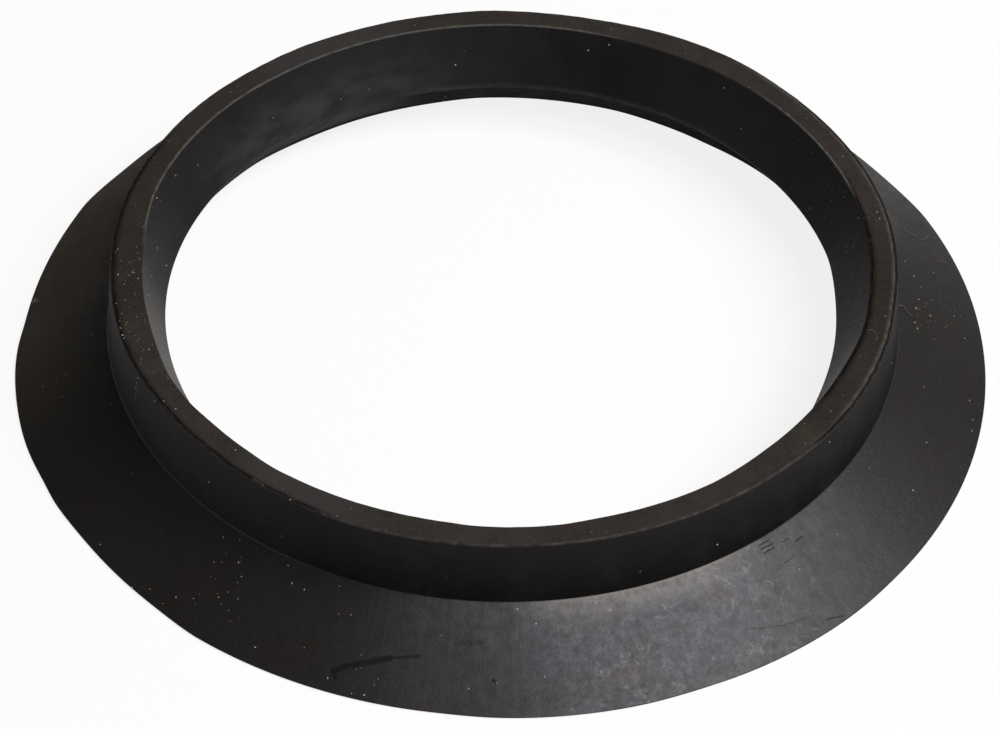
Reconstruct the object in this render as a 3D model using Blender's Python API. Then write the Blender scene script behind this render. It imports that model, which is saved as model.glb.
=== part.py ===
"""A flush valve seal, moulded as one ring of black rubber.

An upright collar with a flat top face stands on a wide conical skirt. The wall of the bore
leans in to a lip, which grips the neck of the valve, and falls away again below it. Under the
skirt the body stands clear, so that only the thin outer edge rests on a flat surface.

The section is drawn in the XZ plane and turned about Z. Z = 0 is the surface that the seal
stands on, and sizes are in metres.
"""

import math

import bmesh
import bpy
from mathutils import Vector

# The bore
LIP_DIAMETER = 0.0622  # the narrowest place of the bore
LIP_DEPTH = 0.0058  # from the top face down to the lip
LIP_REACH = 0.00235  # how far the lip stands in from the mouth of the bore
LIP_RADIUS = 0.0003

# The collar
TOP_FACE_WIDTH = 0.00235  # with both of its rounded edges
TOP_EDGE_RADIUS = 0.0004
COLLAR_HEIGHT = 0.0064  # from the top face down to the root of the skirt
COLLAR_FLARE = 0.0007  # how far the wall leans out on its way down

# The skirt
SKIRT_WIDTH = 0.0085  # from the root out to the edge
SKIRT_DROP = 0.00455  # from the root down to the top of the edge
EDGE_THICKNESS = 0.0004
LAND_WIDTH = 0.0012  # the flat under the edge, on which the seal stands
ROOT_FILLET = 0.0005  # between the collar and the skirt

# The underside of the body
HEEL_HEIGHT = 0.0022  # above the land
HEEL_WIDTH = 0.0017
HEEL_SETBACK = 0.0022  # from the lip out to the flat of the heel
HEEL_RADIUS = 0.0004
HINGE_FILLET = 0.0015  # where the skirt bends, between the heel and its underside

# How finely round shapes are divided
TURN_STEPS = 120
CORNER_STEPS = 4
SHARP_ANGLE = math.radians(35)
LONGEST_FILLET_SHARE = 0.45  # of a side of the section, so that two fillets never meet

RUBBER_COLOUR = (0.026, 0.023, 0.022, 1.0)
RUBBER_ROUGHNESS = 0.55


def clear_scene():
    for thing in list(bpy.data.objects):
        bpy.data.objects.remove(thing)


def corners_of_section():
    """Each corner of the section as (radius, height) and its fillet, clockwise from the top."""
    lip = LIP_DIAMETER / 2
    mouth = lip + LIP_REACH
    collar = mouth + TOP_FACE_WIDTH
    root = collar + COLLAR_FLARE
    edge = root + SKIRT_WIDTH
    heel = lip + HEEL_SETBACK

    root_height = EDGE_THICKNESS + SKIRT_DROP
    top = root_height + COLLAR_HEIGHT
    return [
        ((collar, top), TOP_EDGE_RADIUS),
        ((root, root_height), ROOT_FILLET),
        ((edge, EDGE_THICKNESS), 0.0),
        ((edge, 0.0), 0.0),
        ((edge - LAND_WIDTH, 0.0), 0.0),
        ((heel + HEEL_WIDTH, HEEL_HEIGHT), HINGE_FILLET),
        ((heel, HEEL_HEIGHT), HEEL_RADIUS),
        ((lip, top - LIP_DEPTH), LIP_RADIUS),
        ((mouth, top), TOP_EDGE_RADIUS),
    ]


def fillet(before, corner, after, radius):
    """The points of an arc that touches both sides of a corner, or the corner if it stays sharp."""
    if radius == 0:
        return [corner]
    to_before = before - corner
    to_after = after - corner
    half_angle = to_before.angle(to_after) / 2
    room = LONGEST_FILLET_SHARE * min(to_before.length, to_after.length)
    reach = min(radius / math.tan(half_angle), room)
    bisector = (to_before.normalized() + to_after.normalized()).normalized()
    centre = corner + bisector * reach / math.cos(half_angle)
    start = corner + to_before.normalized() * reach - centre
    end = corner + to_after.normalized() * reach - centre
    turn = math.atan2(start.cross(end), start.dot(end))
    points = []
    for step in range(CORNER_STEPS + 1):
        angle = turn * step / CORNER_STEPS
        cosine, sine = math.cos(angle), math.sin(angle)
        spoke = Vector((start.x * cosine - start.y * sine, start.x * sine + start.y * cosine))
        points.append(centre + spoke)
    return points


def outline_of_section():
    corners = corners_of_section()
    places = [Vector(place) for place, _ in corners]
    outline = []
    for i, (_, radius) in enumerate(corners):
        after = places[(i + 1) % len(places)]
        outline += fillet(places[i - 1], places[i], after, radius)
    return outline


def rubber():
    material = bpy.data.materials.new("black_rubber")
    material.use_nodes = True
    shader = material.node_tree.nodes["Principled BSDF"]
    shader.inputs["Base Color"].default_value = RUBBER_COLOUR
    shader.inputs["Roughness"].default_value = RUBBER_ROUGHNESS
    shader.inputs["Metallic"].default_value = 0.0
    return material


def build_seal():
    """Turns the section once round the Z axis."""
    shape = bmesh.new()
    points = [shape.verts.new((point.x, 0.0, point.y)) for point in outline_of_section()]
    sides = [shape.edges.new((points[i - 1], points[i])) for i in range(len(points))]
    bmesh.ops.spin(
        shape,
        geom=points + sides,
        cent=(0.0, 0.0, 0.0),
        axis=(0.0, 0.0, 1.0),
        angle=math.tau,
        steps=TURN_STEPS,
        use_merge=True,
    )
    bmesh.ops.recalc_face_normals(shape, faces=shape.faces)

    mesh = bpy.data.meshes.new("seal_ring")
    shape.to_mesh(mesh)
    shape.free()
    mesh.shade_smooth()
    mesh.set_sharp_from_angle(angle=SHARP_ANGLE)
    mesh.materials.append(rubber())
    seal = bpy.data.objects.new("seal_ring", mesh)
    bpy.context.scene.collection.objects.link(seal)


clear_scene()
build_seal()
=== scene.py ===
"""The looks of a flush valve seal: one moulded ring of black rubber, seen on a pale stage.

Sizes are in metres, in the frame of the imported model: Z is the axis of the ring and Z = 0 is the
surface that it stands on. Angles round the ring are in degrees from +X towards +Y, so 270 is the
front, nearest to the camera.
"""

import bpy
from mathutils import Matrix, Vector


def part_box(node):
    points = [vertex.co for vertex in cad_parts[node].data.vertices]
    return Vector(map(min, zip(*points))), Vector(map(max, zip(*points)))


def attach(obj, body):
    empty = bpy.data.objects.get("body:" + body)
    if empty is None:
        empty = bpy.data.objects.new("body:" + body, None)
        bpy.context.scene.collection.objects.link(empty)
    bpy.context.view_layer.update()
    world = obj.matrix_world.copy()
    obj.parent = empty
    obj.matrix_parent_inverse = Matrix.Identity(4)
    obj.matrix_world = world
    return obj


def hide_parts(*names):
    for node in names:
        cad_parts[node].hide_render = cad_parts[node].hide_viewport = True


bl_info = {
    "name": "Flush Valve Seal",
    "version": (1, 0, 0),
    "blender": (4, 5, 0),
    "location": "3D View > Sidebar > Valve Seal",
    "description": "Makes the finish of a moulded rubber valve seal and the stage it stands on",
    "category": "Object",
}

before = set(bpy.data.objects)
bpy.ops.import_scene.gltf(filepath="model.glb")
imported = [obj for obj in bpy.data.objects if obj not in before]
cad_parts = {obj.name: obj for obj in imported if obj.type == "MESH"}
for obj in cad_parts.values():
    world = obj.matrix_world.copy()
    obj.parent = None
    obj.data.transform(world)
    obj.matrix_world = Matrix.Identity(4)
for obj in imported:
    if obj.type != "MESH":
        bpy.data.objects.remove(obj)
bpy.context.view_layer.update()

import math
from functools import cached_property

import bpy
from mathutils import Matrix, Vector
from mathutils.bvhtree import BVHTree

NODE = "seal_ring"
RING = "moulded_ring"
BODY = "root"
LOW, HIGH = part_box(NODE)

MM = 0.001
SEED = 7

# Where grinding tore a notch along an edge of the top face, and where it left a burr, which the
# ground rubber paints pale as a highlight, as (middle, half width) in degrees
OUTER_NOTCH_ARCS = ((201.0, 45.0), (0.0, 40.0))
INNER_NOTCH_ARCS = ((352.0, 25.0),)
BURRS = (  # each on a circle of the section, from a share of its push, with its arcs
    ("rim", 0.76, ((8.0, 42.0),)),
    ("mouth", 0.94, ((124.0, 52.0), (29.0, 13.0))),
)

# The set of the soft ring, which is never quite round: how far each of its circles is pushed out,
# as (middle in degrees, half width in degrees, push in millimetres)
PUSHES = {
    "rim": (
        (30.0, 20.0, 0.38),
        (58.0, 7.0, 0.22),
        (82.0, 6.0, -0.14),
        (108.0, 8.0, -0.14),
        (158.0, 14.0, 0.17),
        (225.0, 12.0, -0.25),
        (332.0, 10.0, 0.15),
    ),
    "root": (),
    "edge": (
        (42.0, 9.0, -0.45),
        (140.0, 8.0, -0.63),
        (166.0, 8.0, -0.14),
        (191.0, 7.0, 0.34),
        (221.0, 7.0, -0.3),
        (279.0, 8.0, 0.21),
        (305.0, 8.0, 0.14),
    ),
    "heel": ((35.0, 10.0, 0.3), (56.0, 8.0, -0.12), (88.0, 10.0, -0.08), (116.0, 11.0, -0.38)),
    "lip": ((350.0, 12.0, -0.42), (90.0, 18.0, -0.15)),
    "mouth": (
        (30.0, 18.0, 0.33),
        (150.0, 10.0, 0.15),
        (188.0, 11.0, -0.5),
        (225.0, 5.0, -0.17),
        (246.0, 8.0, -0.1),
        (273.0, 6.0, 0.2),
        (324.0, 11.0, -0.32),
    ),
}

# Marks on the skirt, as a width in millimetres, a strength from 0 to 1, and the places that the
# line runs through, each as (angle, radius in millimetres)
DARK_MARKS = (
    (0.50, 0.9, ((251.2, 43.4), (252.4, 42.8), (254.6, 42.2), (257.2, 41.5))),
    (0.42, 0.9, ((251.0, 43.4), (251.5, 43.8))),
    (0.24, 0.75, ((257.2, 41.5), (260.6, 41.0))),
    (0.26, 0.9, ((269.4, 42.4), (269.6, 42.5))),
    (0.40, 0.35, ((264.8, 39.8), (267.8, 39.5))),
    (0.45, 0.2, ((267.0, 38.5), (270.6, 38.4))),
    (0.09, 0.7, ((307.6, 36.9), (309.2, 36.9))),
    (0.09, 0.7, ((307.6, 37.2), (309.4, 37.3))),
    (0.09, 0.7, ((307.6, 37.6), (309.4, 37.6))),
    (0.09, 0.5, ((310.9, 37.6), (311.9, 37.6))),
    (0.09, 0.6, ((312.4, 38.1), (313.9, 38.1))),
    (0.09, 0.3, ((308.8, 39.1), (311.3, 38.9))),
    (0.12, 0.25, ((300.2, 42.1), (302.5, 42.6), (304.9, 43.1), (307.5, 43.4))),
    (0.13, 0.5, ((309.8, 44.3), (312.0, 44.8))),
)
PALE_MARKS = (
    (0.18, 0.07, ((304.7, 41.8), (306.0, 41.4), (307.1, 40.8))),
    (0.16, 0.06, ((302.6, 40.6), (303.8, 40.1), (304.4, 39.4))),
    (0.18, 0.09, ((299.8, 43.0), (300.2, 43.5), (299.7, 43.9))),
    (0.18, 0.08, ((302.3, 43.3), (301.0, 43.8), (300.7, 44.6))),
    (0.12, 0.4, ((173.4, 44.5), (174.0, 44.6), (174.0, 44.1))),
)

# The larger grains of dust, as (angle, radius in millimetres, size in millimetres)
GRAINS = (
    (250.8, 44.0, 0.16), (269.9, 42.6, 0.17), (253.9, 44.7, 0.16), (255.3, 44.6, 0.20),
    (249.6, 39.2, 0.14), (251.1, 39.0, 0.16), (247.0, 42.4, 0.14), (256.4, 43.2, 0.14),
    (231.2, 39.5, 0.13), (234.2, 38.6, 0.16), (235.6, 39.4, 0.17), (242.2, 38.2, 0.23),
    (244.1, 38.3, 0.20), (234.4, 41.6, 0.12), (236.7, 41.0, 0.12), (235.1, 40.9, 0.13),
    (226.2, 43.9, 0.16), (228.7, 44.2, 0.12), (212.4, 38.7, 0.12), (240.6, 37.1, 0.16),
    (12.8, 38.9, 0.20), (9.8, 39.2, 0.20), (5.0, 39.0, 0.17), (2.8, 38.5, 0.28),
    (2.5, 39.9, 0.19), (4.7, 39.7, 0.13), (359.7, 38.2, 0.17), (358.7, 38.4, 0.22),
    (358.1, 40.0, 0.14), (0.9, 39.4, 0.13), (4.5, 42.5, 0.14), (350.4, 43.6, 0.16),
    (348.2, 39.3, 0.17), (345.9, 44.3, 0.16), (8.0, 39.6, 0.13), (310.6, 40.0, 0.17),
    (301.0, 36.3, 0.19), (9.7, 35.2, 0.17), (11.2, 35.2, 0.19), (348.3, 35.1, 0.17),
    (186.3, 33.3, 0.16), (187.7, 32.5, 0.17), (184.8, 33.8, 0.19), (185.2, 35.1, 0.17),
    (213.1, 35.3, 0.22), (211.5, 35.7, 0.19), (215.4, 34.9, 0.17), (187.4, 34.6, 0.12),
    (196.1, 35.1, 0.13), (202.2, 33.9, 0.14), (166.4, 33.3, 0.22), (169.5, 33.4, 0.16),
    (159.2, 33.1, 0.19), (153.3, 32.6, 0.17), (174.3, 31.5, 0.17), (190.5, 42.8, 0.12),
    (1.8, 32.2, 0.14), (227.6, 34.0, 0.17), (239.8, 35.6, 0.16), (37.4, 33.9, 0.23),
    (50.7, 33.2, 0.16), (44.9, 32.1, 0.14), (134.5, 32.1, 0.14), (115.1, 31.6, 0.14),
    (169.2, 38.1, 0.20), (170.5, 37.8, 0.22), (178.1, 36.7, 0.16), (179.6, 35.3, 0.15),
    (191.3, 35.5, 0.12), (193.6, 35.2, 0.14), (195.1, 35.5, 0.13), (196.4, 35.6, 0.20),
    (197.9, 35.6, 0.20), (198.6, 35.6, 0.16), (206.2, 35.8, 0.22), (205.9, 35.9, 0.15),
    (205.5, 36.0, 0.20), (247.1, 35.5, 0.16),
)

# Where finer dust has gathered, as (angle, radius in millimetres, reach in millimetres, share)
DUST_PATCHES = (
    (3.0, 39.6, 3.2, 1.0),
    (234.0, 40.0, 3.4, 0.7),
    (184.0, 34.6, 3.0, 1.0),
    (198.0, 35.2, 2.6, 0.9),
    (166.0, 34.4, 2.6, 0.6),
    (10.0, 34.6, 2.5, 0.7),
    (306.0, 41.0, 4.0, 0.5),
    (254.0, 43.6, 2.5, 0.4),
    (20.0, 32.4, 2.6, 0.6),
)

# Fibres of lint, as the places they run through, each as (angle, radius in millimetres)
FIBRES = (
    ((20.9, 40.8), (19.9, 41.2), (19.6, 41.8), (18.9, 42.1), (19.4, 42.8), (20.3, 43.6)),
    ((15.2, 43.0), (15.1, 43.6), (14.5, 44.1)),
    ((344.7, 33.9), (344.9, 34.2), (344.4, 34.6), (343.4, 34.9), (342.9, 34.8)),
    ((206.2, 35.9), (205.8, 36.1), (205.4, 36.2)),
    ((1.8, 36.7), (2.2, 37.2), (1.4, 37.5), (0.9, 38.0)),
    ((233.3, 35.4), (234.3, 35.45), (235.4, 35.5)),
)

# How coarse the wear and the dirt are
SWAY_LENGTH = 28.0 * MM  # of the ring, which is never quite level
WANDER_LENGTH = 1.3 * MM  # of a notch
TEAR_GRAIN = 0.35 * MM  # of the sides of a scratch
TEAR_REACH = 0.2 * MM
SPECK_RANGE = (0.45, 1.5)  # the finest and the coarsest speck, as shares of the common one
GRAIN_SHAPE = (1.0, 0.75, 0.55)
LEAST_SLOPE = 0.25  # how far up a face has to look for dust to lie on it
FIBRE_STEPS = 6  # from one point of a fibre to the next
FIBRE_SIDES = 6

LEAST_SHARE_OF_ZONE = 0.4  # what a face has of a zone when it takes its rubber
RUBBER_IOR = 1.52
RELIEF_STRENGTH = 0.8

# The photograph's frame and what the camera sees in it, in pixels
IMAGE_WIDTH, IMAGE_HEIGHT = 1000, 729
RING_CENTRE_SEEN_AT = (503.9, 256.7)


def linear(hex_colour):
    """An sRGB hex colour as linear red, green, blue and an alpha of 1."""
    channels = [int(hex_colour[i : i + 2], 16) / 255 for i in (0, 2, 4)]
    bright = [c / 12.92 if c <= 0.04045 else ((c + 0.055) / 1.055) ** 2.4 for c in channels]
    return (*bright, 1.0)


def size_property(name, description, default):
    return bpy.props.FloatProperty(
        name=name,
        description=description,
        default=default,
        min=0.0,
        precision=5,
        unit="LENGTH",
        subtype="DISTANCE",
    )


def colour_property(name, description, hex_colour):
    return bpy.props.FloatVectorProperty(
        name=name,
        description=description,
        default=linear(hex_colour),
        size=4,
        min=0.0,
        max=1.0,
        subtype="COLOR",
    )


class SealSection(bpy.types.PropertyGroup):
    """The sizes of the section that is turned into the ring"""

    outer_diameter: size_property("Outer diameter", "Across the edge of the skirt", HIGH.x - LOW.x)
    height: size_property("Height", "From the land under the skirt to the top face", HIGH.z - LOW.z)
    skirt_width: size_property("Skirt width", "From the collar out to the edge", 8.5 * MM)
    edge_thickness: size_property("Edge thickness", "The blunt edge of the skirt", 0.15 * MM)
    land_width: size_property("Land width", "The flat under the edge of the skirt", 1.2 * MM)
    collar_height: size_property("Collar height", "From the top face to the skirt", 6.4 * MM)
    collar_flare: size_property("Collar flare", "How far the wall leans out", 0.7 * MM)
    top_face_width: size_property("Top face width", "The wall at the top face", 2.35 * MM)
    lip_reach: size_property("Lip reach", "From the bore's mouth in to the lip", 2.35 * MM)
    lip_depth: size_property("Lip depth", "From the top face down to the lip", 5.8 * MM)
    heel_setback: size_property("Heel setback", "From the lip out to the heel", 2.2 * MM)
    heel_width: size_property("Heel width", "The flat under the body", 1.7 * MM)
    heel_height: size_property("Heel height", "The heel above the land", 2.2 * MM)
    turn_steps: bpy.props.IntProperty(
        name="Turn steps", description="Facets round the ring", default=1150, min=24
    )


class SealFinish(bpy.types.PropertyGroup):
    """The colours of the rubber and of what lies on it, and the traces of moulding and trimming"""

    rubber_colour: colour_property("Rubber", "Moulded black rubber", "23201e")
    wall_colour: colour_property("Wall", "The clean wall of the collar", "1d1b1b")
    # Partly the bloom's own colour and partly painted sheen on the front of the skirt
    bloom_and_sheen_colour: colour_property("Bloom", "Wax that has come out of the rubber", "60646f")
    ground_colour: colour_property("Ground rubber", "The ground top face", "373330")
    dust_colour: colour_property("Dust", "Pale specks", "b3b1aa")
    lint_colour: colour_property("Lint", "Pale fibres", "6c6862")
    burr_size: size_property("Burr", "The ragged rim left by trimming", 0.045 * MM)
    burr_grain: size_property("Burr grain", "Length of one tooth of the burr", 0.55 * MM)
    notch_depth: size_property("Notch", "The tear beside an edge of the top face", 0.12 * MM)
    notch_wander: size_property("Notch wander", "How far the notch strays", 0.055 * MM)
    waviness: size_property("Waviness", "How far the soft ring is out of round", 0.05 * MM)
    speck_size: size_property("Speck size", "Across a common dust speck", 0.08 * MM)
    speck_density: bpy.props.FloatProperty(
        name="Specks in a square millimetre",
        description="How many specks lie where the dust is thickest",
        default=2.4,
        min=0.0,
    )
    fibre_size: size_property("Fibre size", "Across a fibre of lint", 0.038 * MM)


class SealStage(bpy.types.PropertyGroup):
    """The floor, the lamps and the camera"""

    floor_colour: colour_property("Floor", "A pale floor", "f8f8f8")
    floor_whiteness: bpy.props.FloatProperty(
        name="Floor whiteness",
        description="How far the floor is seen as plain white",
        default=0.85,
        min=0.0,
        max=1.0,
        subtype="FACTOR",
    )
    lens: bpy.props.FloatProperty(
        name="Lens", description="Focal length of the camera, in millimetres", default=127.8
    )
    elevation: bpy.props.FloatProperty(
        name="Elevation",
        description="How steeply the camera looks down",
        default=math.radians(44.48),
        subtype="ANGLE",
    )
    roll: bpy.props.FloatProperty(
        name="Roll",
        description="How far the camera leans",
        default=math.radians(0.86),
        subtype="ANGLE",
    )
    distance: size_property("Distance", "From the camera to the top face", 324.2 * MM)


MATH = "ShaderNodeMath"
VECTOR = "ShaderNodeVectorMath"
RANGE = "ShaderNodeMapRange"
NOISE = "ShaderNodeTexNoise"
LEVEL = (1.0, 1.0, 0.0)  # what a vector is multiplied by to make it level


def set_inputs(tree, node, inputs):
    """Links each input that is given a socket, and sets any other to its value."""
    for name, value in inputs.items():
        if isinstance(value, bpy.types.NodeSocket):
            tree.links.new(value, node.inputs[name])
        else:
            node.inputs[name].default_value = value


def add_node(tree, kind, inputs=None, out=0, **settings):
    """Adds a node with its settings and inputs, and gives one of its outputs."""
    node = tree.nodes.new(kind)
    for name, value in settings.items():
        setattr(node, name, value)
    set_inputs(tree, node, inputs or {})
    return node.outputs[out]


def polar(angle, radius, height=0.0):
    """A point of the ring from its angle in degrees, its distance from the axis and its height."""
    turn = math.radians(angle)
    return Vector((radius * math.cos(turn), radius * math.sin(turn), height))


def way_out(tree, place):
    """From a position, the level direction away from the axis."""
    flat = add_node(tree, VECTOR, {0: place, 1: LEVEL}, operation="MULTIPLY")
    return add_node(tree, VECTOR, {0: flat}, operation="NORMALIZE")


def arc_mask(tree, outward, middle, half_width, softness=6.0):
    """1 on a stretch of the ring and 0 beyond it, with its middle and half width in degrees."""
    turned = add_node(
        tree, VECTOR, {0: outward, 1: polar(middle, 1.0)}, out="Value", operation="DOT_PRODUCT"
    )
    ends = {
        "From Min": math.cos(math.radians(half_width + softness)),
        "From Max": math.cos(math.radians(max(half_width - softness, 0.0))),
    }
    return add_node(tree, RANGE, {"Value": turned, **ends}, interpolation_type="SMOOTHSTEP")


def coat(tree, under, over, *shares):
    """Lays one colour over another. It covers by the product of its shares, each from 0 to 1."""
    under, over = (linear(each) if isinstance(each, str) else each for each in (under, over))
    cover = shares[0]
    for share in shares[1:]:
        cover = add_node(tree, MATH, {0: cover, 1: share}, operation="MULTIPLY", use_clamp=True)
    return add_node(tree, "ShaderNodeMix", {0: cover, 6: under, 7: over}, out=2, data_type="RGBA")


class Corner:
    """A corner of the section: its place, its fillet, and the straight that follows it."""

    def __init__(self, place, fillet, steps, finish, circle=None, run=0, burr=None):
        self.place = Vector(place)
        self.fillet = fillet
        self.steps = steps
        self.finish = finish  # of the straight that follows
        self.circle = circle  # the circle that it is pushed with
        self.run = run  # points along the straight, between those near its ends
        self.burr = burr  # which way its burr stands, out and up


class Section:
    """The outline of the ring's section as (radius, height), clockwise from the collar's rim.

    Each point also says which finish it has, and how far each push, burr and notch moves it.
    """

    FINISHES = ("skirt", "wall", "ground", "bore", "under")  # a face between two takes the later
    MOVES = ("burr_out", "burr_up", "outer_notch", "inner_notch", "wander")
    CIRCLES = tuple(PUSHES)

    RIM_FILLET = 0.15 * MM
    MOUTH_FILLET = 0.15 * MM
    ROOT_FILLET = 0.15 * MM
    LIP_FILLET = 0.3 * MM
    HEEL_FILLET = 0.4 * MM
    HINGE_FILLET = 1.5 * MM
    EDGE_FILLET = 0.05 * MM
    SUPPORT = 0.12 * MM  # a point this near to a fillet keeps its smooth shading off the flat
    NOTCH_WIDTH = 0.1 * MM
    NOTCH_SHAPE = ((0.4, 1.0), (0.8, 1.0), (1.1, 0.9), (1.35, 0.0))  # (share of the width, depth)
    NOTCH_STEEPNESS = 2.5  # how fast the notch gets deep from where it breaks out of the edge

    def __init__(self, sizes):
        edge = sizes.outer_diameter / 2
        root = edge - sizes.skirt_width
        collar = root - sizes.collar_flare
        mouth = collar - sizes.top_face_width
        lip = mouth - sizes.lip_reach
        heel = lip + sizes.heel_setback
        top = sizes.height
        self.path_radius = collar

        self.places = []
        self.traits = {name: [] for name in self.FINISHES + self.MOVES + self.CIRCLES}
        corners = (
            Corner((collar, top), self.RIM_FILLET, 7, "wall", "rim", 2, burr=(0.2, 0.6)),
            Corner((root, top - sizes.collar_height), self.ROOT_FILLET, 6, "skirt", "root", 4),
            Corner((edge, sizes.edge_thickness), self.EDGE_FILLET, 3, "skirt", "edge"),
            Corner((edge, 0.0), self.EDGE_FILLET, 3, "skirt", "edge", 1),
            Corner((edge - sizes.land_width, 0.0), self.EDGE_FILLET, 1, "under", "edge"),
            Corner((heel + sizes.heel_width, sizes.heel_height), self.HINGE_FILLET, 3, "under"),
            Corner((heel, sizes.heel_height), self.HEEL_FILLET, 4, "under", "heel", 1),
            Corner((lip, top - sizes.lip_depth), self.LIP_FILLET, 8, "bore", "lip", 3),
            Corner((mouth, top), self.MOUTH_FILLET, 5, "ground", "mouth", 3, burr=(-0.6, 0.8)),
        )
        count = len(corners)
        arcs = [
            self.arc(corners[i - 1], corner, corners[(i + 1) % count])
            for i, corner in enumerate(corners)
        ]
        for i, corner in enumerate(corners):
            self.add_arc(corner, arcs[i])
            if corner.run:
                after = (i + 1) % count
                self.add_run(corner, arcs[i][-1], corners[after], arcs[after][0])

    def add(self, place, finish, shares, **moves):
        """Adds a point, with its share of the push of each circle."""
        self.places.append(place)
        for name in self.FINISHES:
            self.traits[name].append(float(name == finish))
        for name in self.MOVES:
            self.traits[name].append(moves.get(name, 0.0))
        for name in self.CIRCLES:
            self.traits[name].append(shares.get(name, 0.0))

    def arc(self, before, corner, after):
        """The points of the arc that touches both sides of a corner."""
        to_before = (before.place - corner.place).normalized()
        to_after = (after.place - corner.place).normalized()
        half_angle = to_before.angle(to_after) / 2
        reach = corner.fillet / math.tan(half_angle)
        bisector = (to_before + to_after).normalized()
        centre = corner.place + bisector * (reach / math.cos(half_angle))
        start = corner.place + to_before * reach - centre
        end = corner.place + to_after * reach - centre
        turn = math.atan2(start.cross(end), start.dot(end))
        points = []
        for step in range(corner.steps + 1):
            angle = turn * step / corner.steps
            cosine, sine = math.cos(angle), math.sin(angle)
            spoke = Vector((start.x * cosine - start.y * sine, start.x * sine + start.y * cosine))
            points.append(centre + spoke)
        return points

    def add_arc(self, corner, arc):
        """Adds a corner's arc. Its burr is highest in the middle, and a notch runs out in it."""
        for step, place in enumerate(arc):
            share = step / corner.steps
            moves = {}
            if corner.burr:
                height = math.sin(math.pi * share)
                moves["burr_out"], moves["burr_up"] = (way * height for way in corner.burr)
                at_mouth = corner.circle == "mouth"
                moves["wander"] = share if at_mouth else 1.0 - share
                notch = "inner_notch" if at_mouth else "outer_notch"
                moves[notch] = min(self.NOTCH_STEEPNESS * moves["wander"], 1.0)
            self.add(place, corner.finish, {corner.circle: 1.0}, **moves)

    def add_run(self, corner, start, after, end):
        """Adds points on the straight to the next corner. The top face has a notch at each end."""
        length = (end - start).length
        stops = {length * (i + 1) / (corner.run + 1): {} for i in range(corner.run)}
        if corner.finish == "ground":
            for share, depth in self.NOTCH_SHAPE:
                away = share * self.NOTCH_WIDTH
                stops[away] = {"inner_notch": depth, "wander": 1.0}
                stops[length - away] = {"outer_notch": depth, "wander": 1.0}
        else:
            stops.update({self.SUPPORT: {}, length - self.SUPPORT: {}})
        for along in sorted(stops):
            share = along / length
            shares = {corner.circle: 1.0 - share}
            shares[after.circle] = shares.get(after.circle, 0.0) + share
            self.add(start.lerp(end, share), corner.finish, shares, **stops[along])

    def mesh(self):
        """The section as a loop of edges, laid out for Curve to Mesh: X is out and -Y is up."""
        mesh = bpy.data.meshes.new("seal_section")
        count = len(self.places)
        mesh.from_pydata(
            [(place.x - self.path_radius, -place.y, 0.0) for place in self.places],
            [(i, (i + 1) % count) for i in range(count)],
            [],
        )
        for name, values in self.traits.items():
            mesh.attributes.new(name, "FLOAT", "POINT").data.foreach_set("value", values)
        return mesh


def new_tree(name, sockets):
    """A Geometry Nodes tree with a geometry input and output and the named inputs."""
    tree = bpy.data.node_groups.new(name, "GeometryNodeTree")
    for title, kind in {"Geometry": "Geometry", **sockets}.items():
        tree.interface.new_socket(title, in_out="INPUT", socket_type=f"NodeSocket{kind}")
    tree.interface.new_socket("Geometry", in_out="OUTPUT", socket_type="NodeSocketGeometry")
    return tree, add_node(tree, "NodeGroupInput").node.outputs


def end_tree(tree, geometry, materials):
    """Ends a tree in Realize Instances and in Set Material, for each material and its places."""
    geometry = add_node(tree, "GeometryNodeRealizeInstances", {"Geometry": geometry})
    for material, places in materials:
        geometry = add_node(
            tree,
            "GeometryNodeSetMaterial",
            {"Geometry": geometry, "Selection": places, "Material": material},
        )
    tree.links.new(geometry, tree.nodes.new("NodeGroupOutput").inputs["Geometry"])


def plain_piece(name, mesh, tree, values):
    """Runs a tree on a mesh and returns the result as an object with a plain mesh."""
    piece = bpy.data.objects.new(name, mesh)
    bpy.context.scene.collection.objects.link(piece)
    modifier = piece.modifiers.new(tree.name, "NODES")
    modifier.node_group = tree
    for socket in tree.interface.items_tree:
        if socket.in_out == "INPUT" and socket.name in values:
            modifier[socket.identifier] = values[socket.name]
    graph = bpy.context.evaluated_depsgraph_get()
    result = bpy.data.meshes.new_from_object(piece.evaluated_get(graph))
    piece.modifiers.remove(modifier)
    piece.data = result
    result.name = name
    if not result.polygons:
        raise RuntimeError(f"{name} came out empty")
    return piece


def torn_share(tree, outward, torn, *edges):
    """How torn each point is, from pairs of a trait and the arcs on which its edge is torn."""
    total = 0.0
    for trait, arcs in edges:
        near = 0.0
        for middle, half_width in arcs:
            arc = arc_mask(tree, outward, middle, half_width)
            near = add_node(tree, MATH, {0: arc, 1: near}, operation="MAXIMUM")
        total = add_node(tree, MATH, {0: trait, 1: near, 2: total}, operation="MULTIPLY_ADD")
    return add_node(tree, MATH, {0: total, 1: torn}, operation="MULTIPLY")


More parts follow.
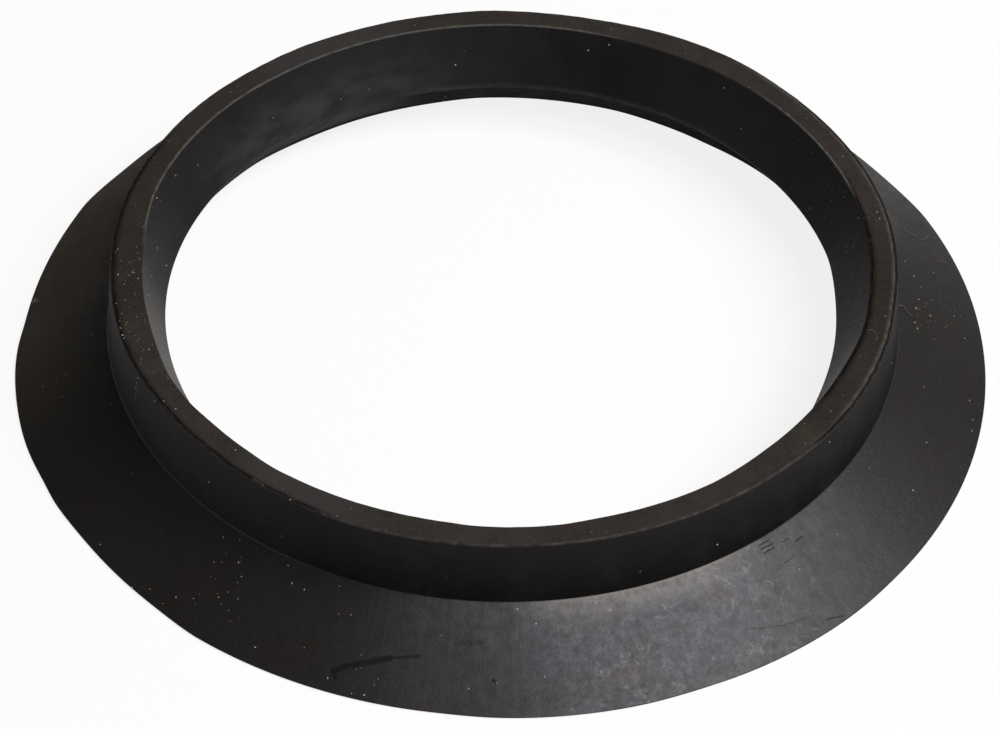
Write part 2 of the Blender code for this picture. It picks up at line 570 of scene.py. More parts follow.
def turning_tree():
    """Turns the section round the axis, tears its edges and gives each zone its finish."""
    sizes = ("Path Radius", "Waviness", "Burr", "Burr Grain", "Notch", "Notch Wander")
    rubbers = {zone: f"{zone.title()} Rubber" for zone in Section.FINISHES}
    tree, given = new_tree(
        "turn_the_seal",
        {
            "Turn Steps": "Int",
            **dict.fromkeys(sizes, "Float"),
            **dict.fromkeys(rubbers.values(), "Material"),
        },
    )
    section = add_node(tree, "GeometryNodeMeshToCurve", {"Mesh": given["Geometry"]})
    path = add_node(
        tree,
        "GeometryNodeCurvePrimitiveCircle",
        {"Resolution": given["Turn Steps"], "Radius": given["Path Radius"]},
    )
    ring = add_node(tree, "GeometryNodeCurveToMesh", {"Curve": path, "Profile Curve": section})
    trait = {
        name: add_node(
            tree,
            "GeometryNodeInputNamedAttribute",
            {"Name": name},
            out="Attribute",
            data_type="FLOAT",
        )
        for name in Section.FINISHES + Section.MOVES + Section.CIRCLES
    }
    place = add_node(tree, "GeometryNodeInputPosition")
    outward = way_out(tree, place)

    # The soft ring has taken a set, so its circles are not quite round
    pushed = 0.0
    for name, stretches in PUSHES.items():
        push = 0.0
        for middle, half_width, reach in stretches:
            arc = arc_mask(tree, outward, middle, half_width, softness=half_width)
            push = add_node(tree, MATH, {0: arc, 1: reach * MM, 2: push}, operation="MULTIPLY_ADD")
        pushed = add_node(
            tree, MATH, {0: trait[name], 1: push, 2: pushed}, operation="MULTIPLY_ADD"
        )

    # It also sways a little, less up and down than from side to side
    sway = add_node(
        tree, NOISE, {"Vector": place, "Scale": 1 / SWAY_LENGTH, "Detail": 1.0}, out="Color"
    )
    sway = add_node(tree, VECTOR, {0: sway, 1: (0.5, 0.5, 0.5)}, operation="SUBTRACT")
    sway = add_node(tree, VECTOR, {0: sway, 1: (2.0, 2.0, 1.0)}, operation="MULTIPLY")
    shift = add_node(tree, VECTOR, {0: sway, "Scale": given["Waviness"]}, operation="SCALE")

    # Burr and notch are torn, so the noise only has to vary round the ring
    fineness = add_node(tree, MATH, {0: 1.0, 1: given["Burr Grain"]}, operation="DIVIDE")
    teeth = add_node(
        tree, NOISE, {"Vector": place, "Scale": fineness, "Detail": 2.0, "Roughness": 0.7}
    )
    burred = {"Value": teeth, "From Min": 0.35, "From Max": 0.6, "To Min": 0.4, "To Max": 1.0}
    notched = {"Value": teeth, "From Min": 0.38, "From Max": 0.55, "To Min": 0.5, "To Max": 1.0}
    burr = torn_share(
        tree,
        outward,
        add_node(tree, RANGE, burred),
        *(
            (add_node(tree, RANGE, {"Value": trait[circle], "From Min": start}), arcs)
            for circle, start, arcs in BURRS
        ),
    )
    notch = torn_share(
        tree,
        outward,
        add_node(tree, RANGE, notched),
        (trait["outer_notch"], OUTER_NOTCH_ARCS),
        (trait["inner_notch"], INNER_NOTCH_ARCS),
    )
    drift = add_node(tree, NOISE, {"Vector": place, "Scale": 1 / WANDER_LENGTH, "Detail": 4.0})
    drift = add_node(
        tree,
        RANGE,
        {"Value": drift, "From Min": 0.3, "From Max": 0.7, "To Min": -1.0, "To Max": 1.0},
    )
    drift = add_node(tree, MATH, {0: drift, 1: given["Notch Wander"]}, operation="MULTIPLY")
    out = add_node(
        tree, MATH, {0: trait["wander"], 1: drift, 2: pushed}, operation="MULTIPLY_ADD"
    )
    raised = add_node(tree, MATH, {0: burr, 1: given["Burr"]}, operation="MULTIPLY")
    sunk = add_node(tree, MATH, {0: notch, 1: given["Notch"]}, operation="MULTIPLY")

    out = add_node(tree, MATH, {0: trait["burr_out"], 1: raised, 2: out}, operation="MULTIPLY_ADD")
    out = add_node(tree, VECTOR, {0: outward, "Scale": out}, operation="SCALE")
    up = add_node(tree, MATH, {0: trait["burr_up"], 1: raised}, operation="MULTIPLY")
    up = add_node(tree, MATH, {0: up, 1: sunk}, operation="SUBTRACT")
    up = add_node(tree, "ShaderNodeCombineXYZ", {"Z": up})
    for part in (out, up):
        shift = add_node(tree, VECTOR, {0: shift, 1: part}, operation="ADD")
    for name, share in (("burr", burr), ("notch", notch)):
        ring = add_node(
            tree,
            "GeometryNodeStoreNamedAttribute",
            {"Geometry": ring, "Name": name, "Value": share},
            data_type="FLOAT",
            domain="POINT",
        )
    ring = add_node(tree, "GeometryNodeSetPosition", {"Geometry": ring, "Offset": shift})
    ring = add_node(tree, "GeometryNodeSetShadeSmooth", {"Geometry": ring})

    zones = []
    for zone, rubber in rubbers.items():
        inside = add_node(
            tree,
            "FunctionNodeCompare",
            {"A": trait[zone], "B": LEAST_SHARE_OF_ZONE},
            data_type="FLOAT",
            operation="GREATER_THAN",
        )
        zones.append((given[rubber], inside))
    end_tree(tree, ring, zones)
    return tree


class CoatedMaterial:
    """A material whose colour is laid in coats, with the masks that they are laid through.

    Grains and sizes are in millimetres, and angles in degrees.
    """

    def __init__(self, name, colour):
        self.material = bpy.data.materials.new(name)
        self.material.use_nodes = True
        self.tree = self.material.node_tree
        self.place = self.add("ShaderNodeTexCoord", out="Object")
        self.colour = colour

    @cached_property
    def outward(self):
        return way_out(self.tree, self.place)

    def add(self, kind, inputs=None, **settings):
        return add_node(self.tree, kind, inputs, **settings)

    def coat(self, colour, *shares):
        """Lays a colour over the last one. It covers by the product of its shares."""
        self.colour = coat(self.tree, self.colour, colour, *shares)

    def stain(self, stretches, *shares):
        """Lays coats on stretches of the ring: (colour, middle, half width, softness, share)."""
        for colour, middle, half_width, softness, share in stretches:
            self.coat(colour, self.arc(middle, half_width, softness), share, *shares)

    def dust(self, colour, spacing, size, share, *shares):
        """Dust too fine to model: a coat of round dots, of which only a share is there."""
        grid = {"Vector": self.place, "Scale": 1 / (spacing * MM)}
        cells = self.add("ShaderNodeTexVoronoi", grid).node.outputs
        size /= spacing
        ends = {"From Min": 0.5 * size, "From Max": 0.9 * size, "To Min": 1.0, "To Max": 0.0}
        dot = self.add(RANGE, {"Value": cells["Distance"], **ends})
        chance = self.add("ShaderNodeSeparateColor", {"Color": cells["Color"]}, out="Red")
        there = self.add(RANGE, {"Value": chance, "From Min": 1.0 - share, "From Max": 1.0})
        self.coat(colour, dot, there, *shares)

    def arc(self, middle, half_width, softness=6.0):
        return arc_mask(self.tree, self.outward, middle, half_width, softness)

    def near(self, circle, start, full=1.0):
        """A share that rises towards one of the section's circles, from what is stored with it."""
        near = self.add("ShaderNodeAttribute", out="Fac", attribute_name=circle)
        return self.add(RANGE, {"Value": near, "From Min": start, "From Max": full})

    def patchy(self, grain, low, high, detail=4.0, roughness=0.6, distortion=0.0, place=None):
        """A share that goes from one level to another in patches, as large as the grain."""
        noise = {
            "Vector": self.place if place is None else place,
            "Scale": 1 / (grain * MM),
            "Detail": detail,
            "Roughness": roughness,
            "Distortion": distortion,
        }
        ends = {"From Min": 0.35, "From Max": 0.65, "To Min": low, "To Max": high}
        return self.add(RANGE, {"Value": self.add(NOISE, noise), **ends})

    def worms(self, grain, width):
        """A mask of thin broken worms, where a noise passes through its middle."""
        noise = {"Vector": self.place, "Scale": 1 / (grain * MM), "Detail": 1.5, "Distortion": 0.8}
        off = self.add(MATH, {0: self.add(NOISE, noise), 1: 0.5}, operation="SUBTRACT")
        off = self.add(MATH, {0: off}, operation="ABSOLUTE")
        ends = {"From Min": 0.3 * width, "From Max": width, "To Min": 1.0, "To Max": 0.0}
        return self.add(RANGE, {"Value": off, **ends})

    def line(self, place, width, points):
        """1 on a thin line through places given as (angle, radius), seen from above."""
        points = [polar(angle, radius * MM) for angle, radius in points]
        flat = self.add(VECTOR, {0: place, 1: LEVEL}, operation="MULTIPLY")
        nearest = 1.0
        for start, end in zip(points, points[1:]):
            way = end - start
            from_start = self.add(VECTOR, {0: flat, 1: start}, operation="SUBTRACT")
            share = {0: from_start, 1: way / way.length_squared}
            along = self.add(VECTOR, share, out="Value", operation="DOT_PRODUCT")
            along = self.add(MATH, {0: along, 1: 0.0}, operation="ADD", use_clamp=True)
            foot = self.add(VECTOR, {0: way, "Scale": along}, operation="SCALE")
            away = self.add(VECTOR, {0: from_start, 1: foot}, out="Value", operation="DISTANCE")
            nearest = self.add(MATH, {0: away, 1: nearest}, operation="MINIMUM")
        width *= MM
        ends = {"From Min": 0.25 * width, "From Max": 0.75 * width, "To Min": 1.0, "To Max": 0.0}
        return self.add(RANGE, {"Value": nearest, **ends}, interpolation_type="SMOOTHSTEP")

    def marks(self, marks):
        """The strength of the nearest mark, torn a little at its sides like a scratch in rubber."""
        reach = Vector(LEVEL) * TEAR_REACH
        noise = {"Vector": self.place, "Scale": 1 / TEAR_GRAIN, "Detail": 2.0}
        shaken = self.add(NOISE, noise, out="Color")
        shaken = self.add(VECTOR, {0: shaken, 1: reach, 2: self.place}, operation="MULTIPLY_ADD")
        shaken = self.add(VECTOR, {0: shaken, 1: reach / 2}, operation="SUBTRACT")
        total = 0.0
        for width, strength, points in marks:
            mark = self.line(shaken, width, points)
            mark = self.add(MATH, {0: mark, 1: strength}, operation="MULTIPLY")
            total = self.add(MATH, {0: mark, 1: total}, operation="MAXIMUM")
        return total

    def end(self, inputs):
        """Sets the colour and other inputs of the shader, and gives the material."""
        shader = self.tree.nodes["Principled BSDF"]
        set_inputs(self.tree, shader, {"Base Color": self.colour, **inputs})
        return self.material

    def end_rubber(self, roughness, height, depth, gloss):
        """Ends a rubber whose fine relief is as deep as given, in millimetres."""
        relief = {"Strength": RELIEF_STRENGTH, "Distance": depth * MM, "Height": height}
        return self.end(
            {
                "Roughness": roughness,
                "Normal": self.add("ShaderNodeBump", relief),
                "IOR": RUBBER_IOR,
                "Specular IOR Level": gloss,
            }
        )


def skirt_rubber(colours):
    """Moulded rubber with bloom: black, soft in gloss, under a thin grey waxy film that lies in
    patches and streaks with fine pale cracks, and with a few dark scratches through it. Over the
    front the film is partly painted sheen, and a painted highlight runs along the root."""
    skin = CoatedMaterial("bloomed_moulded_rubber", colours.rubber_colour)

    # The skin is black with a breath of brown, most of all at the back left
    skin.coat("222121", skin.patchy(6.0, 0.0, 1.0, detail=3.0))
    skin.stain((("3f3220", 162.0, 22.0, 20.0, 0.65), ("14130f", 189.0, 14.0, 14.0, 0.45)))
    skin.coat("0f0d0d", skin.patchy(0.35, 0.4, 0.0), 0.7)

    # Dust has greyed the corner at the root, at the back right and at the back left
    corner = skin.near("root", 0.35, 0.85)
    skin.stain((("5a5247", 32.0, 9.0, 9.0, 0.35), ("5a5247", 164.0, 9.0, 9.0, 0.45)), corner)

    # The bloom lies over the front, thickest near the root, in patches and in radial streaks; this
    # pale film is partly real bloom and partly painted sheen, brightest where the lamps' sheen on
    # the skirt is
    streaks = skin.add(VECTOR, {0: skin.outward, "Scale": 40.0 * MM}, operation="SCALE")
    streaks = skin.add(
        VECTOR, {0: skin.place, 1: (0.15, 0.15, 0.0), 2: streaks}, operation="MULTIPLY_ADD"
    )
    front_film_and_sheen = coat(skin.tree, colours.bloom_and_sheen_colour, "706a6e", skin.patchy(5.0, 0.0, 1.0, detail=5.0))
    skin.coat(
        front_film_and_sheen,
        skin.arc(289.0, 25.0, 16.0),
        skin.patchy(1.2, 0.35, 1.0, detail=6.0, roughness=0.75),
        skin.patchy(0.7, 0.6, 1.0, place=streaks),
        skin.near("root", -1.0),
        0.45,
    )
    # A bluish crust where the sheen peaks, partly bloom and partly painted sheen
    crust_and_sheen = coat(skin.tree, "8990a0", "8e8890", skin.patchy(3.2, -0.2, 1.2, detail=2.0))
    skin.coat(
        crust_and_sheen,
        skin.arc(290.5, 12.0, 9.0),
        skin.patchy(0.5, 0.25, 1.0, detail=2.0, roughness=0.7),
        skin.patchy(2.2, 0.45, 1.0, detail=3.0),
        0.27,
    )
    # Painted sheen: a pale coat near the root at the front, where the sheen on the skirt is
    # brightest
    skin.coat(
        "b0a99e",
        skin.arc(289.0, 11.0, 8.0),
        skin.near("root", 0.74),
        skin.patchy(0.7, 0.3, 1.0, roughness=0.7),
        0.32,
    )
    cracks = (skin.worms(1.0, 0.035), skin.patchy(1.1, -0.8, 1.0, detail=1.0))
    skin.coat("a3a2a8", *cracks, skin.arc(295.0, 15.0), 0.19)

    # Handling has left smears and scratches
    dark = skin.marks(DARK_MARKS)
    skin.coat("060505", dark)
    skin.coat("a5a19c", skin.marks(PALE_MARKS))

    # A painted highlight: a thin pale line along the root, where its fillet catches the light, in
    # two stretches
    root_highlight = (("857c6e", 292.0, 10.0, 8.0, 0.4), ("857c6e", 210.0, 32.0, 8.0, 0.05))
    skin.stain(root_highlight, skin.near("root", 0.995))
    skin.dust(colours.dust_colour, 0.8, 0.09, 0.12)

    # Away from the handled front, at the back left, the skin is duller
    roughness = skin.patchy(1.3, 0.47, 0.39, detail=5.0)
    for more, there in ((0.25, skin.arc(150.0, 25.0, 18.0)), (0.3, dark)):
        roughness = skin.add(
            MATH, {0: there, 1: more, 2: roughness}, operation="MULTIPLY_ADD", use_clamp=True
        )
    height = skin.patchy(0.32, 0.0, 1.0, roughness=0.75)
    height = skin.add(MATH, {0: dark, 1: -1.5, 2: height}, operation="MULTIPLY_ADD")
    return skin.end_rubber(roughness, height, depth=0.014, gloss=0.2)


def wall_rubber(colours):
    """Moulded rubber with no bloom: a deep black, dull, with a few specks. It is painted darker
    towards the root as shade, lighter at the left front as sheen, grey at the rim as wear and
    painted highlight, and black in the notch as shade.
    """
    # Painted shade: the wall goes darker from the rim down to the root
    skin = CoatedMaterial("bare_moulded_rubber", "0b0a0a")
    skin.coat(colours.wall_colour, skin.near("rim", 0.0, 0.95))
    skin.coat("242226", skin.patchy(4.0, -0.5, 0.4), 0.9)
    # Painted sheen on the wall at the left front
    skin.stain((("262425", 213.0, 22.0, 16.0, 0.45),))
    # A grey rim, partly wear and partly a painted highlight where the rim catches the light
    skin.coat("44403d", skin.near("rim", 0.98), skin.patchy(0.8, 0.2, 0.9))
    # Painted shade in the notch
    skin.coat("120d0c", skin.near("notch", 0.25, 0.6), 0.75)
    skin.dust(colours.dust_colour, 1.1, 0.1, 0.1)
    roughness, height = skin.patchy(0.3, 0.5, 0.6), skin.patchy(0.3, 0.0, 1.0)
    return skin.end_rubber(roughness, height, depth=0.01, gloss=0.08)


def bore_rubber(colours):
    """Moulded rubber that has been handled: black with faint grey smudges, wiped along the bore,
    with a painted reflection low on the left and a thin painted highlight on the lip."""
    skin = CoatedMaterial("handled_moulded_rubber", "222122")
    skin.coat("161516", skin.patchy(7.0, 0.0, 0.7))
    skin.stain((("2f2d30", 30.0, 22.0, 18.0, 0.6), ("323233", 114.0, 22.0, 14.0, 0.25)))
    wiped = skin.add(VECTOR, {0: skin.place, 1: (1.0, 1.0, 2.5)}, operation="MULTIPLY")
    smudges = skin.patchy(4.0, 0.1, 1.0, detail=6.0, distortion=0.3, place=wiped)
    skin.stain((("59565d", 127.0, 18.0, 14.0, 0.22),), smudges, skin.near("lip", 0.1, 0.7))
    # Painted reflection: a pale coat low on the left of the bore, where it mirrors the bright floor
    skin.stain((("8d8a84", 203.0, 10.0, 14.0, 0.15),))
    # Painted highlight: a thin pale line along the lip at the back
    lip_highlight = (skin.near("lip", 0.95), skin.patchy(1.0, 0.3, 1.0))
    skin.stain((("4c4948", 76.0, 32.0, 5.0, 0.3),), *lip_highlight)
    skin.dust(colours.dust_colour, 1.0, 0.1, 0.2)
    roughness, height = skin.patchy(0.3, 0.43, 0.55), skin.patchy(0.3, 0.0, 1.0)
    return skin.end_rubber(roughness, height, depth=0.01, gloss=0.04)


def under_rubber(colours):
    """Rubber of the underside: black and quite dull, as it came out of the mould, and greyed where
    the smudge on the bore reaches round the lip."""
    skin = CoatedMaterial("dull_moulded_rubber", "232224")
    skin.coat("333135", skin.patchy(2.0, 0.0, 0.6))
    smudge = (skin.near("lip", 0.15, 0.3), skin.patchy(2.5, 0.5, 1.0))
    skin.coat("49484b", skin.arc(129.0, 17.0, 8.0), *smudge)
    skin.dust(colours.dust_colour, 1.2, 0.1, 0.1)
    roughness, height = skin.patchy(0.5, 0.85, 0.98), skin.patchy(0.3, 0.0, 1.0)
    return skin.end_rubber(roughness, height, depth=0.01, gloss=0.0)


def ground_rubber(colours):
    """Ground rubber: the skin is off, so the face is a dull brown-grey with a fine stipple. Where
    its edge stands up in a burr it is painted pale as a highlight, and the notch where it was torn
    is painted black as shade."""
    face = CoatedMaterial("ground_rubber", "292624")
    stipple = face.patchy(0.22, 0.0, 1.0, detail=3.0, roughness=0.75)
    face.coat(colours.ground_colour, stipple)
    for stain, grain in (("3b3830", 2.5), ("3b3230", 3.4)):
        face.coat(stain, face.patchy(grain, -0.3, 0.5, detail=5.0))
    face.stain(
        (
            ("3a3939", 120.0, 11.0, 6.0, 0.6),
            ("3a3939", 240.0, 8.0, 6.0, 0.6),
            ("1c1910", 172.0, 22.0, 6.0, 0.25),
            ("1c1910", 344.0, 20.0, 6.0, 0.25),
        )
    )
    face.dust("8c857c", 0.6, 0.08, 0.25)
    face.dust("857f75", 0.42, 0.08, 0.4, face.arc(186.0, 22.0, 12.0))
    # Painted highlight on the burr, where the torn edge catches the light
    face.coat("62605d", face.near("burr", 0.1, 0.9), 0.65)
    # Painted shade in the notch
    face.coat("0f0b0a", face.near("notch", 0.25, 0.65), 0.85)
    return face.end_rubber(face.patchy(0.22, 0.75, 0.95), stipple, depth=0.02, gloss=0.06)


def dry_dust(colours):
    """Household dust: dry pale grains, some of them brown, that scatter light and have no gloss."""
    grain = CoatedMaterial("dry_dust", colours.dust_colour)
    grain.coat("8a6f58", grain.patchy(2.0, -0.4, 0.8))
    return grain.end({"Roughness": 0.95, "Specular IOR Level": 0.2})


def cotton_lint(colours):
    """Cotton lint: thin pale fibres, soft and without gloss."""
    fibre = CoatedMaterial("cotton_lint", colours.lint_colour)
    fibre.coat("6e6a65", fibre.patchy(0.6, 0.0, 0.7))
    return fibre.end({"Roughness": 0.9, "Sheen Weight": 0.2})


class OnTheRing:
    """Finds points on the top of the finished ring."""

    START = 20.0 * MM

    def __init__(self):
        mesh = bpy.data.objects[RING].data
        self.shape = BVHTree.FromPolygons(
            [vertex.co for vertex in mesh.vertices], [face.vertices for face in mesh.polygons]
        )

    def below(self, angle, radius, lift=0.0):
        """The point of the ring straight below a place, raised along the surface's normal."""
        above = polar(angle, radius * MM, self.START)
        place, normal, _, _ = self.shape.ray_cast(above, Vector((0.0, 0.0, -1.0)))
        if place is None:
            raise RuntimeError(f"nothing lies below {angle} degrees, {radius} mm")
        return place + normal * lift


def dust_tree():
    """Puts a grain on each given point, and finer grains on the ring where dust has gathered."""
    tree, given = new_tree(
        "scatter_the_dust",
        {
            "Ring": "Object",
            "Speck": "Float",
            "Specks in a Square": "Float",
            "Seed": "Int",
            "Dust": "Material",
        },
    )
    ring = add_node(
        tree,
        "GeometryNodeObjectInfo",
        {"Object": given["Ring"]},
        out="Geometry",
        transform_space="ORIGINAL",
    )
    place = add_node(tree, "GeometryNodeInputPosition")
    flat = add_node(tree, VECTOR, {0: place, 1: LEVEL}, operation="MULTIPLY")
    gathered = 0.0
    for angle, radius, reach, share in DUST_PATCHES:
        middle = polar(angle, radius * MM)
        away = add_node(tree, VECTOR, {0: flat, 1: middle}, out="Value", operation="DISTANCE")
        patch = add_node(
            tree, RANGE, {"Value": away, "From Max": reach * MM, "To Min": share, "To Max": 0.0}
        )
        gathered = add_node(tree, MATH, {0: patch, 1: gathered}, operation="MAXIMUM")
    normal = add_node(tree, "GeometryNodeInputNormal")
    up = add_node(tree, "ShaderNodeSeparateXYZ", {0: normal}, out="Z")
    facing_up = add_node(tree, MATH, {0: up, 1: LEAST_SLOPE}, operation="GREATER_THAN")
    density = add_node(
        tree, MATH, {0: gathered, 1: given["Specks in a Square"]}, operation="MULTIPLY"
    )
    density = add_node(tree, MATH, {0: density, 1: 1 / MM**2}, operation="MULTIPLY")
    scattered = add_node(
        tree,
        "GeometryNodeDistributePointsOnFaces",
        {"Mesh": ring, "Selection": facing_up, "Density": density, "Seed": given["Seed"]},
    )
    uneven = add_node(
        tree,
        "FunctionNodeRandomValue",
        {2: SPECK_RANGE[0], 3: SPECK_RANGE[1], "Seed": given["Seed"]},
        out=1,
        data_type="FLOAT",
    )
    speck_size = add_node(tree, MATH, {0: given["Speck"], 1: uneven}, operation="MULTIPLY")
    grain_size = add_node(
        tree,
        "GeometryNodeInputNamedAttribute",
        {"Name": "grain_size"},
        out="Attribute",
        data_type="FLOAT",
    )

    grain = add_node(tree, "GeometryNodeMeshIcoSphere", {"Radius": 0.5, "Subdivisions": 1})
    grain = add_node(tree, "GeometryNodeTransform", {"Geometry": grain, "Scale": GRAIN_SHAPE})
    turned = add_node(
        tree,
        "FunctionNodeRandomValue",
        {0: (0.0, 0.0, 0.0), 1: (math.tau, math.tau, math.tau), "Seed": given["Seed"]},
        data_type="FLOAT_VECTOR",
    )
    both = add_node(tree, "GeometryNodeJoinGeometry")
    for points, size in ((given["Geometry"], grain_size), (scattered, speck_size)):
        grains = add_node(
            tree,
            "GeometryNodeInstanceOnPoints",
            {"Points": points, "Instance": grain, "Rotation": turned, "Scale": size},
        )
        tree.links.new(grains, both.node.inputs[0])
    end_tree(tree, both, [(given["Dust"], True)])
    return tree


def lint_tree():
    """Makes each line of points a smooth round fibre."""
    tree, given = new_tree("spin_the_lint", {"Fibre": "Float", "Lint": "Material"})
    line = add_node(tree, "GeometryNodeMeshToCurve", {"Mesh": given["Geometry"]})
    line = add_node(tree, "GeometryNodeCurveSplineType", {"Curve": line}, spline_type="CATMULL_ROM")
    line = add_node(
        tree, "GeometryNodeSetSplineResolution", {"Geometry": line, "Resolution": FIBRE_STEPS}
    )
    radius = add_node(tree, MATH, {0: given["Fibre"], 1: 0.5}, operation="MULTIPLY")
    section = add_node(
        tree, "GeometryNodeCurvePrimitiveCircle", {"Resolution": FIBRE_SIDES, "Radius": radius}
    )
    fibre = add_node(
        tree,
        "GeometryNodeCurveToMesh",
        {"Curve": line, "Profile Curve": section, "Fill Caps": True},
    )
    end_tree(tree, fibre, [(given["Lint"], True)])
    return tree


class MakeRing(bpy.types.Operator):
    """Turns the moulded ring and gives its zones their finishes"""

    bl_idname = "valve_seal.make_ring"
    bl_label = "Make the ring"

    def execute(self, context):
        sizes = context.scene.seal_section
        finish = context.scene.seal_finish
        section = Section(sizes)
        values = {
            "Path Radius": section.path_radius,
            "Turn Steps": sizes.turn_steps,
            "Waviness": finish.waviness,
            "Burr": finish.burr_size,
            "Burr Grain": finish.burr_grain,
            "Notch": finish.notch_depth,
            "Notch Wander": finish.notch_wander,
            "Ground Rubber": ground_rubber(finish),
            "Wall Rubber": wall_rubber(finish),
            "Skirt Rubber": skirt_rubber(finish),
            "Bore Rubber": bore_rubber(finish),
            "Under Rubber": under_rubber(finish),
        }
        ring = plain_piece(RING, section.mesh(), turning_tree(), values)
        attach(ring, BODY)
        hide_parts(NODE)
        return {"FINISHED"}


class MakeDust(bpy.types.Operator):
    """Puts the grains of dust on the ring"""

    bl_idname = "valve_seal.make_dust"
    bl_label = "Make the dust"

    def execute(self, context):
        finish = context.scene.seal_finish
        ring = OnTheRing()
        mesh = bpy.data.meshes.new("grain_points")
        mesh.from_pydata([ring.below(angle, radius) for angle, radius, _ in GRAINS], [], [])
        sizes = mesh.attributes.new("grain_size", "FLOAT", "POINT")
        sizes.data.foreach_set("value", [size * MM for _, _, size in GRAINS])
        values = {
            "Ring": bpy.data.objects[RING],
            "Speck": finish.speck_size,
            "Specks in a Square": finish.speck_density,
            "Seed": SEED,
            "Dust": dry_dust(finish),
        }
        dust = plain_piece("dust_grains", mesh, dust_tree(), values)
        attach(dust, BODY)
        return {"FINISHED"}


class MakeLint(bpy.types.Operator):
    """Lays the fibres of lint on the ring"""

    bl_idname = "valve_seal.make_lint"
    bl_label = "Make the lint"

    def execute(self, context):
        finish = context.scene.seal_finish
        ring = OnTheRing()
        places, sides = [], []
        for line in FIBRES:
            first = len(places)
            places += [ring.below(angle, radius, finish.fibre_size / 2) for angle, radius in line]
            sides += [(i, i + 1) for i in range(first, len(places) - 1)]
        mesh = bpy.data.meshes.new("fibre_lines")
        mesh.from_pydata(places, sides, [])
        values = {"Fibre": finish.fibre_size, "Lint": cotton_lint(finish)}
        lint = plain_piece("lint_fibres", mesh, lint_tree(), values)
        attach(lint, BODY)
        return {"FINISHED"}


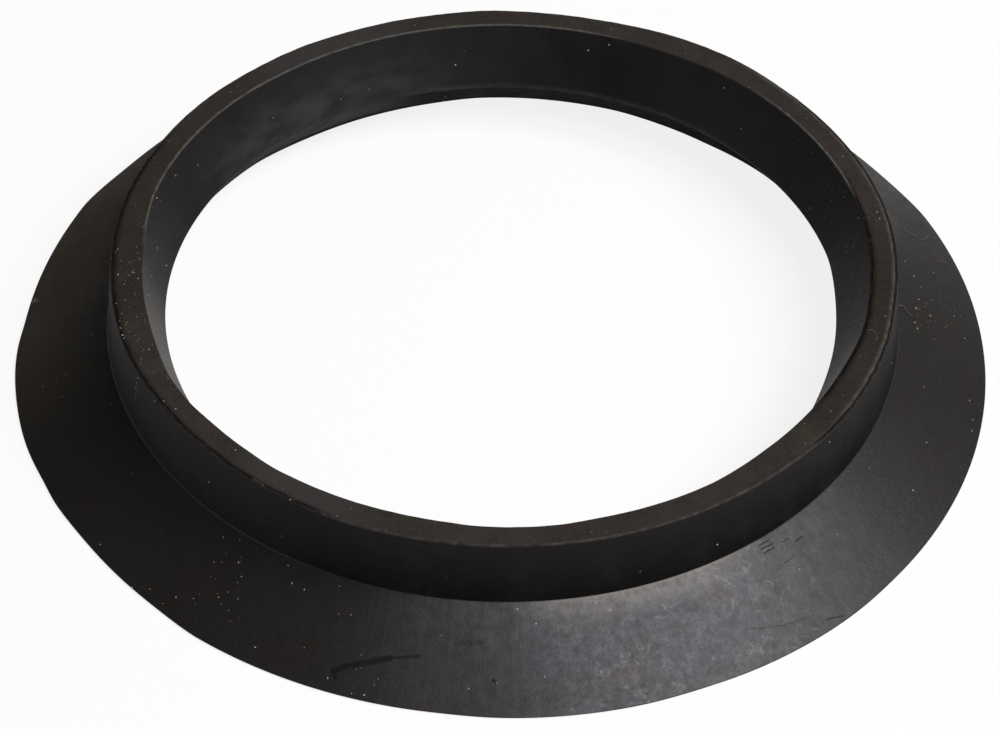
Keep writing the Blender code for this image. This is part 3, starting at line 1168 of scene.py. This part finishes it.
class MakeStage(bpy.types.Operator):
    """Makes the floor, the lamps, the world and the camera"""

    bl_idname = "valve_seal.make_stage"
    bl_label = "Make the stage"

    FLOOR_REACH = 3.0
    FLOOR_GAP = 0.1 * MM  # keeps the floor off the land of the skirt
    LAMPS = (  # what each is called, the way to it and its brightness
        ("softbox_right", (0.62, -0.05, 0.78), 15.0),
        ("softbox_front", (0.37, -0.42, 0.83), 11.0),
    )
    LAMP_DISTANCE = 0.9
    LAMP_HALF_ANGLE = math.radians(12.0)
    LAMP_COLOUR = "fffdfb"
    ROOM_COLOUR = (0.07, 0.07, 0.07, 1.0)
    SENSOR_WIDTH = 36.0  # in millimetres
    CLIP_START = 0.01

    def execute(self, context):
        settings = context.scene.seal_stage
        self.make_floor(context, settings)
        for name, towards, brightness in self.LAMPS:
            self.make_lamp(context, name, Vector(towards), brightness)
        self.make_world(context)
        self.make_camera(context, settings)
        context.scene.view_settings.view_transform = "Standard"
        return {"FINISHED"}

    def make_floor(self, context, settings):
        reach = self.FLOOR_REACH
        mesh = bpy.data.meshes.new("floor")
        mesh.from_pydata(
            [
                (x * reach, y * reach, -self.FLOOR_GAP)
                for x, y in ((-1, -1), (1, -1), (1, 1), (-1, 1))
            ],
            [],
            [(0, 1, 2, 3)],
        )
        mesh.materials.append(self.white_paper(settings))
        floor = bpy.data.objects.new("floor", mesh)
        context.scene.collection.objects.link(floor)

    def white_paper(self, settings):
        """Matt white paper, seen and mirrored nearly white, that still takes a soft shadow."""
        paper = CoatedMaterial("matt_white_paper", settings.floor_colour)
        tree = paper.tree
        ray = add_node(tree, "ShaderNodeLightPath").node.outputs
        seen = 0.0
        for kind in ("Is Camera Ray", "Is Glossy Ray", "Is Transmission Ray"):
            seen = add_node(tree, MATH, {0: ray[kind], 1: seen}, operation="MAXIMUM")
        share = add_node(tree, MATH, {0: seen, 1: settings.floor_whiteness}, operation="MULTIPLY")
        matt = tree.nodes["Principled BSDF"].outputs[0]
        white = add_node(tree, "ShaderNodeEmission", {"Strength": 1.0})
        mix = add_node(tree, "ShaderNodeMixShader", {0: share, 1: matt, 2: white})
        set_inputs(tree, tree.nodes["Material Output"], {"Surface": mix})
        return paper.end({"Roughness": 1.0, "Specular IOR Level": 0.0})

    def make_lamp(self, context, name, towards, brightness):
        """A round soft lamp that fills a cone of the sky seen from the ring."""
        radius = self.LAMP_DISTANCE * math.tan(self.LAMP_HALF_ANGLE)
        data = bpy.data.lights.new(name, "AREA")
        data.shape = "DISK"
        data.size = 2 * radius
        data.energy = brightness * math.pi * math.pi * radius**2
        data.color = linear(self.LAMP_COLOUR)[:3]
        lamp = bpy.data.objects.new(name, data)
        lamp.location = towards.normalized() * self.LAMP_DISTANCE
        lamp.rotation_mode = "QUATERNION"
        lamp.rotation_quaternion = towards.to_track_quat("Z", "Y")
        context.scene.collection.objects.link(lamp)

    def make_world(self, context):
        """A dim grey room, seen white by the camera."""
        world = bpy.data.worlds.new("studio")
        world.use_nodes = True
        tree = world.node_tree
        seen = add_node(tree, "ShaderNodeLightPath", out="Is Camera Ray")
        colour = coat(tree, self.ROOM_COLOUR, "ffffff", seen)
        set_inputs(tree, tree.nodes["Background"], {"Color": colour})
        context.scene.world = world

    def make_camera(self, context, settings):
        """A camera that looks along +Y and down, and sees the ring's centre at a known pixel."""
        level = Matrix.Rotation(-settings.elevation, 3, "X") @ Matrix(
            ((1, 0, 0), (0, 0, -1), (0, 1, 0))
        )
        turned = level @ Matrix.Rotation(settings.roll, 3, "Z")
        right, up, back = turned.col
        data = bpy.data.cameras.new("camera")
        data.sensor_width = self.SENSOR_WIDTH
        data.lens = settings.lens
        pixels = IMAGE_WIDTH * settings.lens / self.SENSOR_WIDTH
        across = (RING_CENTRE_SEEN_AT[0] - IMAGE_WIDTH / 2) / pixels
        below = (RING_CENTRE_SEEN_AT[1] - IMAGE_HEIGHT / 2) / pixels
        camera = bpy.data.objects.new("camera", data)
        centre = Vector((0.0, 0.0, context.scene.seal_section.height))
        place = centre + settings.distance * (back - across * right + below * up)
        camera.matrix_world = Matrix.Translation(place) @ turned.to_4x4()
        data.clip_start = self.CLIP_START
        context.scene.collection.objects.link(camera)
        context.scene.camera = camera


class SealPanel(bpy.types.Panel):
    """Lists the sizes and the steps that make the seal"""

    bl_idname = "VIEW3D_PT_valve_seal"
    bl_label = "Valve Seal"
    bl_space_type = "VIEW_3D"
    bl_region_type = "UI"
    bl_category = "Valve Seal"

    def draw(self, context):
        for name in ("seal_section", "seal_finish", "seal_stage"):
            settings = getattr(context.scene, name)
            box = self.layout.box()
            for key in settings.__annotations__:
                box.prop(settings, key)
        for operator in OPERATORS:
            self.layout.operator(operator.bl_idname)


SETTINGS = {
    "seal_section": SealSection,
    "seal_finish": SealFinish,
    "seal_stage": SealStage,
}
OPERATORS = (MakeRing, MakeDust, MakeLint, MakeStage)
CLASSES = (*SETTINGS.values(), *OPERATORS, SealPanel)


def register():
    for each in CLASSES:
        bpy.utils.register_class(each)
    for name, settings in SETTINGS.items():
        setattr(bpy.types.Scene, name, bpy.props.PointerProperty(type=settings))


def unregister():
    for name in SETTINGS:
        delattr(bpy.types.Scene, name)
    for each in reversed(CLASSES):
        bpy.utils.unregister_class(each)


def main():
    register()
    bpy.ops.valve_seal.make_ring()
    bpy.ops.valve_seal.make_dust()
    bpy.ops.valve_seal.make_lint()
    bpy.ops.valve_seal.make_stage()


if __name__ == "__main__":
    main()
